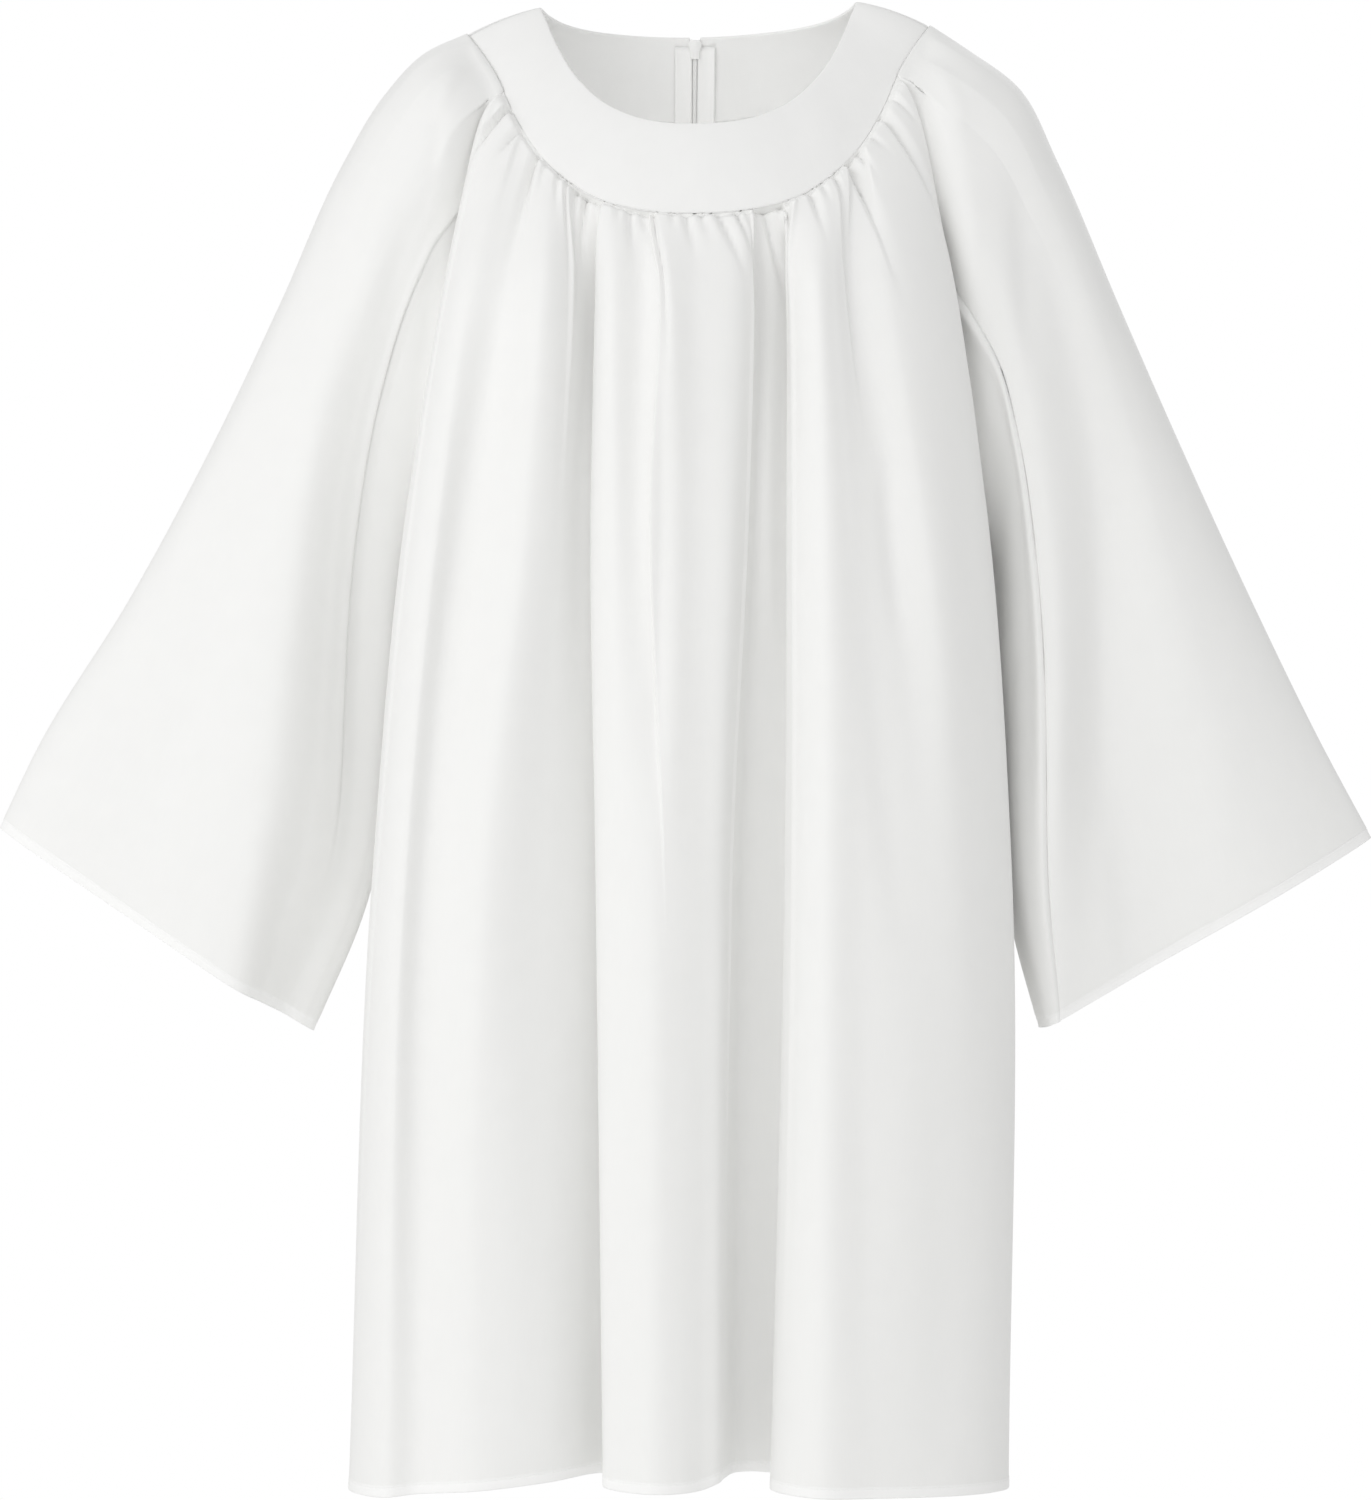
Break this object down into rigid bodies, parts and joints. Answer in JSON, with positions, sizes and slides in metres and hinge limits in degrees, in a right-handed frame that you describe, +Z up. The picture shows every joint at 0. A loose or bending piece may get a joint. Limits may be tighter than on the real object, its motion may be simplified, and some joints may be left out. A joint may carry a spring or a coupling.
{
  "type": "choir robe",
  "caption": "White choir robe, hollow as worn: round faced yoke, gathered bell body, wide raglan sleeves, concealed zip at the centre back.",
  "frame": {"origin": "middle of the neck opening at the height of its two side points, where the wearer's shoulders hold the robe up", "axes": "+Z up along the robe's length, -Y to the front, +X to the side at the right of the front view"},
  "size_m": [0.895, 0.2713, 0.9603],
  "materials": {
    "robe_cloth": "matte woven polyester with a faint sheen",
    "yoke_cloth": "the same cloth, faced and pressed flat",
    "zip_tape_cloth": "matte knitted zip tape",
    "slider_enamel": "satin enamel"
  },
  "bodies": {
    "robe": {"body_front": "robe_cloth", "body_back_left": "robe_cloth", "body_back_right": "robe_cloth", "sleeve_left": "robe_cloth", "sleeve_right": "robe_cloth", "yoke_front": "yoke_cloth", "yoke_back_left": "yoke_cloth", "yoke_back_right": "yoke_cloth", "zip_tape_left": "zip_tape_cloth", "zip_tape_right": "zip_tape_cloth", "zip_chain": "zip_tape_cloth", "zip_bottom_stop": "zip_tape_cloth", "zip_slider": "slider_enamel"},
    "pull_tab": {"zip_pull_tab": "slider_enamel"}
  },
  "joints": [
    {"name": "pull_tab_hinge", "type": "hinge", "parent": "robe", "child": "pull_tab", "pos_m": [-0.00207, 0.07465, -0.01446], "axis": [1, 0, 0], "range_deg": [0, 165]}
  ]
}
